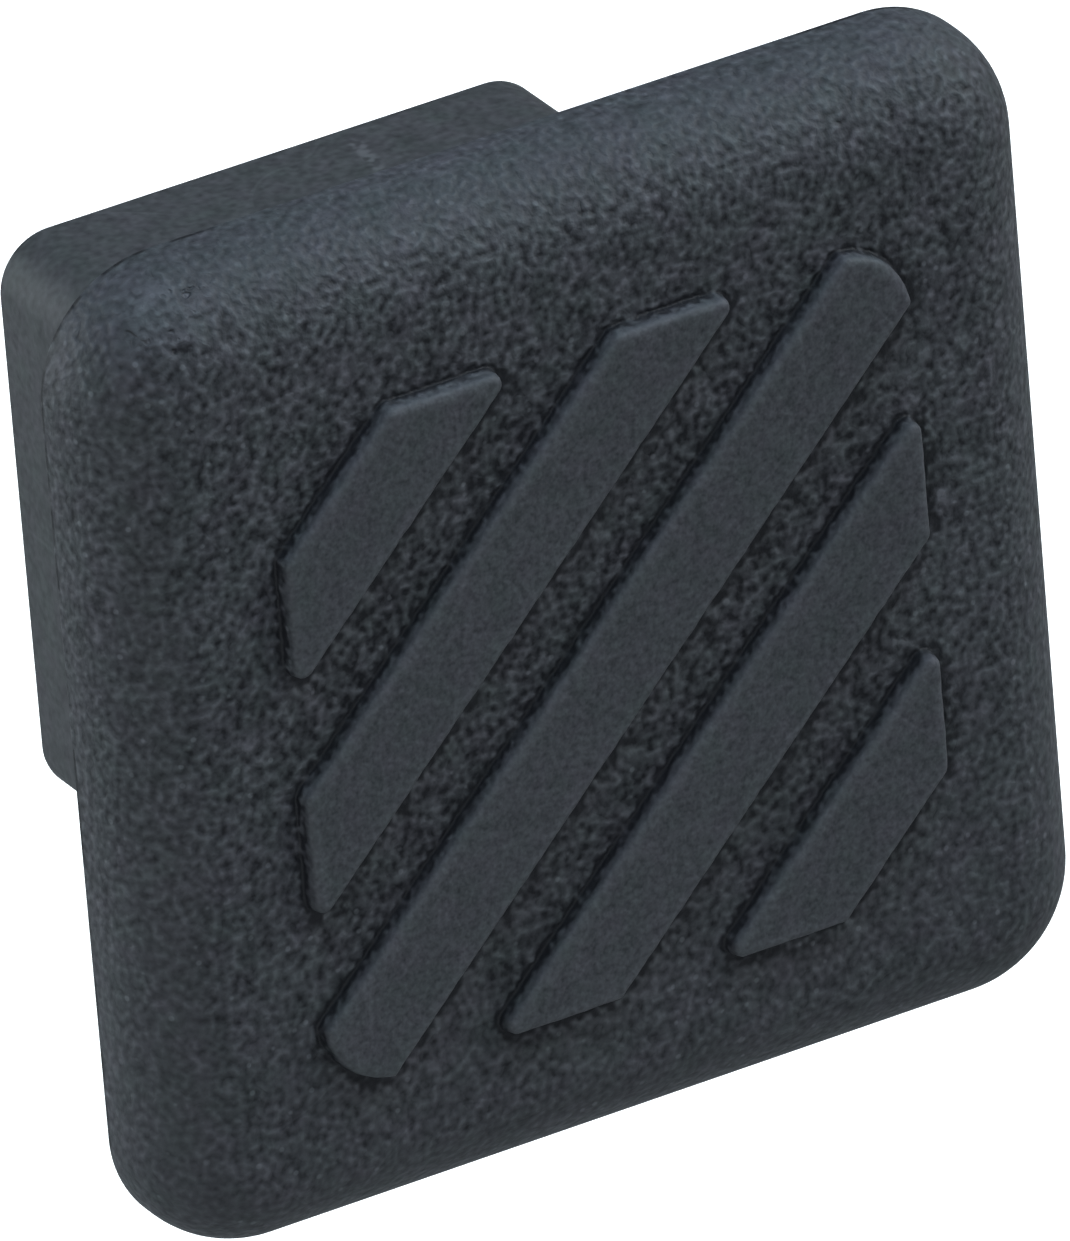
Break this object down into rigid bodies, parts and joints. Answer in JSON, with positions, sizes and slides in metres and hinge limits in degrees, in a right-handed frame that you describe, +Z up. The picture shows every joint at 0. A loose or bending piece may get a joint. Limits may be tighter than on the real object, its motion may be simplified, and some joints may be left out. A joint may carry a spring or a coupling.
{
  "type": "hitch receiver cover",
  "caption": "Rounded square rubber cap with a hollow square plug behind it, pushed into the open end of a square hitch receiver tube to keep out dirt and water.",
  "frame": {"origin": "on the plug's axis, in the plane of the cap's back face, where the cover meets the end of the receiver tube", "axes": "+X across the cap, to the right as seen from in front; +Y along the receiver tube, from the cap into the tube; +Z up the cap. The cap's ribbed face looks along -Y"},
  "size_m": [0.054, 0.0328, 0.054],
  "materials": {
    "rubber": "matt black moulded rubber with a fine pebbled grain, smoother on the tops of the ribs and on the plug"
  },
  "bodies": {
    "root": {"hitch_cover": "rubber"}
  },
  "joints": []
}
